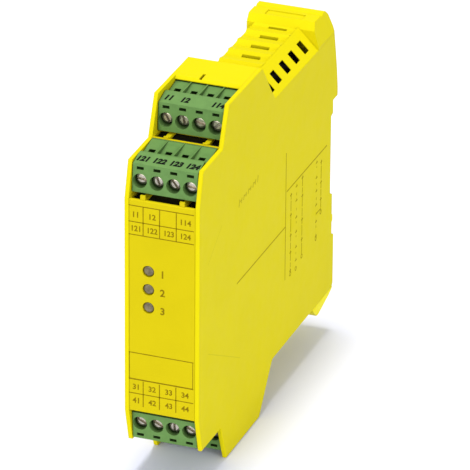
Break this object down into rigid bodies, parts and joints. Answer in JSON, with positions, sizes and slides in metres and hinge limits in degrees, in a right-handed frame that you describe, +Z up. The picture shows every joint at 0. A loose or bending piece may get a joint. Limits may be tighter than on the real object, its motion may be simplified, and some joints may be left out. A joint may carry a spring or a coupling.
{
  "type": "safety relay module",
  "caption": "Slim safety relay module for a 35 mm rail, with four plug-in screw terminal blocks, status indicators, a vented stepped housing and a foot latch.",
  "frame": {"origin": "centre of the rail seat face: module width centre, rail mid-height, on the plane that rests against the mounting rail", "axes": "+X to the right seen from the front, +Y back towards the rail, +Z up"},
  "size_m": [0.0226, 0.1145, 0.112],
  "materials": {
    "yellow_plastic": "fine-grained moulded housing plastic",
    "panel_plastic": "fine-grained moulded front panel",
    "latch_plastic": "moulded latch",
    "green_plastic": "pale green terminal plastic",
    "header_plastic": "black header plastic",
    "screw_steel": "zinc-plated screw",
    "cage_steel": "plated clamp cage",
    "contact_metal": "tinned copper alloy",
    "lens": "smoked indicator lens",
    "board": "lacquered circuit board",
    "relay_case": "black relay case",
    "potting": "potted transformer",
    "capacitor_can": "sleeved capacitor can",
    "spring_steel": "spring wire"
  },
  "bodies": {
    "housing": {"housing_body": "yellow_plastic", "side_cover": "yellow_plastic", "front_cover": "panel_plastic", "indicator_1": "lens", "indicator_2": "lens", "indicator_3": "lens", "main_board": "board", "logic_board": "board", "board_link_pins": "contact_metal", "guided_relay_1": "relay_case", "guided_relay_2": "relay_case", "power_transformer": "potting", "reservoir_capacitor": "capacitor_can", "header_upper_front": "header_plastic", "header_upper_rear": "header_plastic", "header_lower_front": "header_plastic", "header_lower_rear": "header_plastic", "header_pins": "contact_metal", "latch_spring": "spring_steel"},
    "terminal_upper_front": {"plug_upper_front": "green_plastic", "contacts_upper_front": "contact_metal"},
    "clamp_screw_upper_front_1": {"screw_upper_front_1": "screw_steel"},
    "clamp_cage_upper_front_1": {"cage_upper_front_1": "cage_steel"},
    "clamp_screw_upper_front_2": {"screw_upper_front_2": "screw_steel"},
    "clamp_cage_upper_front_2": {"cage_upper_front_2": "cage_steel"},
    "clamp_screw_upper_front_3": {"screw_upper_front_3": "screw_steel"},
    "clamp_cage_upper_front_3": {"cage_upper_front_3": "cage_steel"},
    "clamp_screw_upper_front_4": {"screw_upper_front_4": "screw_steel"},
    "clamp_cage_upper_front_4": {"cage_upper_front_4": "cage_steel"},
    "terminal_upper_rear": {"plug_upper_rear": "green_plastic", "contacts_upper_rear": "contact_metal"},
    "clamp_screw_upper_rear_1": {"screw_upper_rear_1": "screw_steel"},
    "clamp_cage_upper_rear_1": {"cage_upper_rear_1": "cage_steel"},
    "clamp_screw_upper_rear_2": {"screw_upper_rear_2": "screw_steel"},
    "clamp_cage_upper_rear_2": {"cage_upper_rear_2": "cage_steel"},
    "clamp_screw_upper_rear_3": {"screw_upper_rear_3": "screw_steel"},
    "clamp_cage_upper_rear_3": {"cage_upper_rear_3": "cage_steel"},
    "clamp_screw_upper_rear_4": {"screw_upper_rear_4": "screw_steel"},
    "clamp_cage_upper_rear_4": {"cage_upper_rear_4": "cage_steel"},
    "terminal_lower_front": {"plug_lower_front": "green_plastic", "contacts_lower_front": "contact_metal"},
    "clamp_screw_lower_front_1": {"screw_lower_front_1": "screw_steel"},
    "clamp_cage_lower_front_1": {"cage_lower_front_1": "cage_steel"},
    "clamp_screw_lower_front_2": {"screw_lower_front_2": "screw_steel"},
    "clamp_cage_lower_front_2": {"cage_lower_front_2": "cage_steel"},
    "clamp_screw_lower_front_3": {"screw_lower_front_3": "screw_steel"},
    "clamp_cage_lower_front_3": {"cage_lower_front_3": "cage_steel"},
    "clamp_screw_lower_front_4": {"screw_lower_front_4": "screw_steel"},
    "clamp_cage_lower_front_4": {"cage_lower_front_4": "cage_steel"},
    "terminal_lower_rear": {"plug_lower_rear": "green_plastic", "contacts_lower_rear": "contact_metal"},
    "clamp_screw_lower_rear_1": {"screw_lower_rear_1": "screw_steel"},
    "clamp_cage_lower_rear_1": {"cage_lower_rear_1": "cage_steel"},
    "clamp_screw_lower_rear_2": {"screw_lower_rear_2": "screw_steel"},
    "clamp_cage_lower_rear_2": {"cage_lower_rear_2": "cage_steel"},
    "clamp_screw_lower_rear_3": {"screw_lower_rear_3": "screw_steel"},
    "clamp_cage_lower_rear_3": {"cage_lower_rear_3": "cage_steel"},
    "clamp_screw_lower_rear_4": {"screw_lower_rear_4": "screw_steel"},
    "clamp_cage_lower_rear_4": {"cage_lower_rear_4": "cage_steel"},
    "latch": {"foot_latch": "latch_plastic"}
  },
  "joints": [
    {"name": "terminal_upper_front_pull", "type": "slide", "parent": "housing", "child": "terminal_upper_front", "axis": [0, -1, 0], "range_m": [0, 0.025]},
    {"name": "screw_upper_front_1_turn", "type": "hinge", "parent": "terminal_upper_front", "child": "clamp_screw_upper_front_1", "pos_m": [-0.0075, -0.1, 0.0382], "axis": [0, 1, 0], "range_deg": [0, 1441]},
    {"name": "cage_upper_front_1_rise", "type": "slide", "parent": "terminal_upper_front", "child": "clamp_cage_upper_front_1", "axis": [0, -1, 0], "range_m": [0, 0.002]},
    {"name": "screw_upper_front_2_turn", "type": "hinge", "parent": "terminal_upper_front", "child": "clamp_screw_upper_front_2", "pos_m": [-0.0025, -0.1, 0.0382], "axis": [0, 1, 0], "range_deg": [0, 1441]},
    {"name": "cage_upper_front_2_rise", "type": "slide", "parent": "terminal_upper_front", "child": "clamp_cage_upper_front_2", "axis": [0, -1, 0], "range_m": [0, 0.002]},
    {"name": "screw_upper_front_3_turn", "type": "hinge", "parent": "terminal_upper_front", "child": "clamp_screw_upper_front_3", "pos_m": [0.0025, -0.1, 0.0382], "axis": [0, 1, 0], "range_deg": [0, 1441]},
    {"name": "cage_upper_front_3_rise", "type": "slide", "parent": "terminal_upper_front", "child": "clamp_cage_upper_front_3", "axis": [0, -1, 0], "range_m": [0, 0.002]},
    {"name": "screw_upper_front_4_turn", "type": "hinge", "parent": "terminal_upper_front", "child": "clamp_screw_upper_front_4", "pos_m": [0.0075, -0.1, 0.0382], "axis": [0, 1, 0], "range_deg": [0, 1441]},
    {"name": "cage_upper_front_4_rise", "type": "slide", "parent": "terminal_upper_front", "child": "clamp_cage_upper_front_4", "axis": [0, -1, 0], "range_m": [0, 0.002]},
    {"name": "terminal_upper_rear_pull", "type": "slide", "parent": "housing", "child": "terminal_upper_rear", "axis": [0, -1, 0], "range_m": [0, 0.025]},
    {"name": "screw_upper_rear_1_turn", "type": "hinge", "parent": "terminal_upper_rear", "child": "clamp_screw_upper_rear_1", "pos_m": [-0.0075, -0.1, 0.0486], "axis": [0, 1, 0], "range_deg": [0, 1441]},
    {"name": "cage_upper_rear_1_rise", "type": "slide", "parent": "terminal_upper_rear", "child": "clamp_cage_upper_rear_1", "axis": [0, -1, 0], "range_m": [0, 0.002]},
    {"name": "screw_upper_rear_2_turn", "type": "hinge", "parent": "terminal_upper_rear", "child": "clamp_screw_upper_rear_2", "pos_m": [-0.0025, -0.1, 0.0486], "axis": [0, 1, 0], "range_deg": [0, 1441]},
    {"name": "cage_upper_rear_2_rise", "type": "slide", "parent": "terminal_upper_rear", "child": "clamp_cage_upper_rear_2", "axis": [0, -1, 0], "range_m": [0, 0.002]},
    {"name": "screw_upper_rear_3_turn", "type": "hinge", "parent": "terminal_upper_rear", "child": "clamp_screw_upper_rear_3", "pos_m": [0.0025, -0.1, 0.0486], "axis": [0, 1, 0], "range_deg": [0, 1441]},
    {"name": "cage_upper_rear_3_rise", "type": "slide", "parent": "terminal_upper_rear", "child": "clamp_cage_upper_rear_3", "axis": [0, -1, 0], "range_m": [0, 0.002]},
    {"name": "screw_upper_rear_4_turn", "type": "hinge", "parent": "terminal_upper_rear", "child": "clamp_screw_upper_rear_4", "pos_m": [0.0075, -0.1, 0.0486], "axis": [0, 1, 0], "range_deg": [0, 1441]},
    {"name": "cage_upper_rear_4_rise", "type": "slide", "parent": "terminal_upper_rear", "child": "clamp_cage_upper_rear_4", "axis": [0, -1, 0], "range_m": [0, 0.002]},
    {"name": "terminal_lower_front_pull", "type": "slide", "parent": "housing", "child": "terminal_lower_front", "axis": [0, -1, 0], "range_m": [0, 0.025]},
    {"name": "screw_lower_front_1_turn", "type": "hinge", "parent": "terminal_lower_front", "child": "clamp_screw_lower_front_1", "pos_m": [-0.0075, -0.1, -0.0382], "axis": [0, 1, 0], "range_deg": [0, 1441]},
    {"name": "cage_lower_front_1_rise", "type": "slide", "parent": "terminal_lower_front", "child": "clamp_cage_lower_front_1", "axis": [0, -1, 0], "range_m": [0, 0.002]},
    {"name": "screw_lower_front_2_turn", "type": "hinge", "parent": "terminal_lower_front", "child": "clamp_screw_lower_front_2", "pos_m": [-0.0025, -0.1, -0.0382], "axis": [0, 1, 0], "range_deg": [0, 1441]},
    {"name": "cage_lower_front_2_rise", "type": "slide", "parent": "terminal_lower_front", "child": "clamp_cage_lower_front_2", "axis": [0, -1, 0], "range_m": [0, 0.002]},
    {"name": "screw_lower_front_3_turn", "type": "hinge", "parent": "terminal_lower_front", "child": "clamp_screw_lower_front_3", "pos_m": [0.0025, -0.1, -0.0382], "axis": [0, 1, 0], "range_deg": [0, 1441]},
    {"name": "cage_lower_front_3_rise", "type": "slide", "parent": "terminal_lower_front", "child": "clamp_cage_lower_front_3", "axis": [0, -1, 0], "range_m": [0, 0.002]},
    {"name": "screw_lower_front_4_turn", "type": "hinge", "parent": "terminal_lower_front", "child": "clamp_screw_lower_front_4", "pos_m": [0.0075, -0.1, -0.0382], "axis": [0, 1, 0], "range_deg": [0, 1441]},
    {"name": "cage_lower_front_4_rise", "type": "slide", "parent": "terminal_lower_front", "child": "clamp_cage_lower_front_4", "axis": [0, -1, 0], "range_m": [0, 0.002]},
    {"name": "terminal_lower_rear_pull", "type": "slide", "parent": "housing", "child": "terminal_lower_rear", "axis": [0, -1, 0], "range_m": [0, 0.025]},
    {"name": "screw_lower_rear_1_turn", "type": "hinge", "parent": "terminal_lower_rear", "child": "clamp_screw_lower_rear_1", "pos_m": [-0.0075, -0.1, -0.0486], "axis": [0, 1, 0], "range_deg": [0, 1441]},
    {"name": "cage_lower_rear_1_rise", "type": "slide", "parent": "terminal_lower_rear", "child": "clamp_cage_lower_rear_1", "axis": [0, -1, 0], "range_m": [0, 0.002]},
    {"name": "screw_lower_rear_2_turn", "type": "hinge", "parent": "terminal_lower_rear", "child": "clamp_screw_lower_rear_2", "pos_m": [-0.0025, -0.1, -0.0486], "axis": [0, 1, 0], "range_deg": [0, 1441]},
    {"name": "cage_lower_rear_2_rise", "type": "slide", "parent": "terminal_lower_rear", "child": "clamp_cage_lower_rear_2", "axis": [0, -1, 0], "range_m": [0, 0.002]},
    {"name": "screw_lower_rear_3_turn", "type": "hinge", "parent": "terminal_lower_rear", "child": "clamp_screw_lower_rear_3", "pos_m": [0.0025, -0.1, -0.0486], "axis": [0, 1, 0], "range_deg": [0, 1441]},
    {"name": "cage_lower_rear_3_rise", "type": "slide", "parent": "terminal_lower_rear", "child": "clamp_cage_lower_rear_3", "axis": [0, -1, 0], "range_m": [0, 0.002]},
    {"name": "screw_lower_rear_4_turn", "type": "hinge", "parent": "terminal_lower_rear", "child": "clamp_screw_lower_rear_4", "pos_m": [0.0075, -0.1, -0.0486], "axis": [0, 1, 0], "range_deg": [0, 1441]},
    {"name": "cage_lower_rear_4_rise", "type": "slide", "parent": "terminal_lower_rear", "child": "clamp_cage_lower_rear_4", "axis": [0, -1, 0], "range_m": [0, 0.002]},
    {"name": "foot_latch_release", "type": "slide", "parent": "housing", "child": "latch", "axis": [0, 0, -1], "range_m": [0, 0.003], "stiffness_N_per_m": 3000, "springref_m": -0.001, "deforming": ["latch_spring"]}
  ],
  "couplings": [
    {"joint": "screw_upper_front_1_turn", "follows": "cage_upper_front_1_rise", "rad_per_m": 12566},
    {"joint": "screw_upper_front_2_turn", "follows": "cage_upper_front_2_rise", "rad_per_m": 12566},
    {"joint": "screw_upper_front_3_turn", "follows": "cage_upper_front_3_rise", "rad_per_m": 12566},
    {"joint": "screw_upper_front_4_turn", "follows": "cage_upper_front_4_rise", "rad_per_m": 12566},
    {"joint": "screw_upper_rear_1_turn", "follows": "cage_upper_rear_1_rise", "rad_per_m": 12566},
    {"joint": "screw_upper_rear_2_turn", "follows": "cage_upper_rear_2_rise", "rad_per_m": 12566},
    {"joint": "screw_upper_rear_3_turn", "follows": "cage_upper_rear_3_rise", "rad_per_m": 12566},
    {"joint": "screw_upper_rear_4_turn", "follows": "cage_upper_rear_4_rise", "rad_per_m": 12566},
    {"joint": "screw_lower_front_1_turn", "follows": "cage_lower_front_1_rise", "rad_per_m": 12566},
    {"joint": "screw_lower_front_2_turn", "follows": "cage_lower_front_2_rise", "rad_per_m": 12566},
    {"joint": "screw_lower_front_3_turn", "follows": "cage_lower_front_3_rise", "rad_per_m": 12566},
    {"joint": "screw_lower_front_4_turn", "follows": "cage_lower_front_4_rise", "rad_per_m": 12566},
    {"joint": "screw_lower_rear_1_turn", "follows": "cage_lower_rear_1_rise", "rad_per_m": 12566},
    {"joint": "screw_lower_rear_2_turn", "follows": "cage_lower_rear_2_rise", "rad_per_m": 12566},
    {"joint": "screw_lower_rear_3_turn", "follows": "cage_lower_rear_3_rise", "rad_per_m": 12566},
    {"joint": "screw_lower_rear_4_turn", "follows": "cage_lower_rear_4_rise", "rad_per_m": 12566}
  ]
}
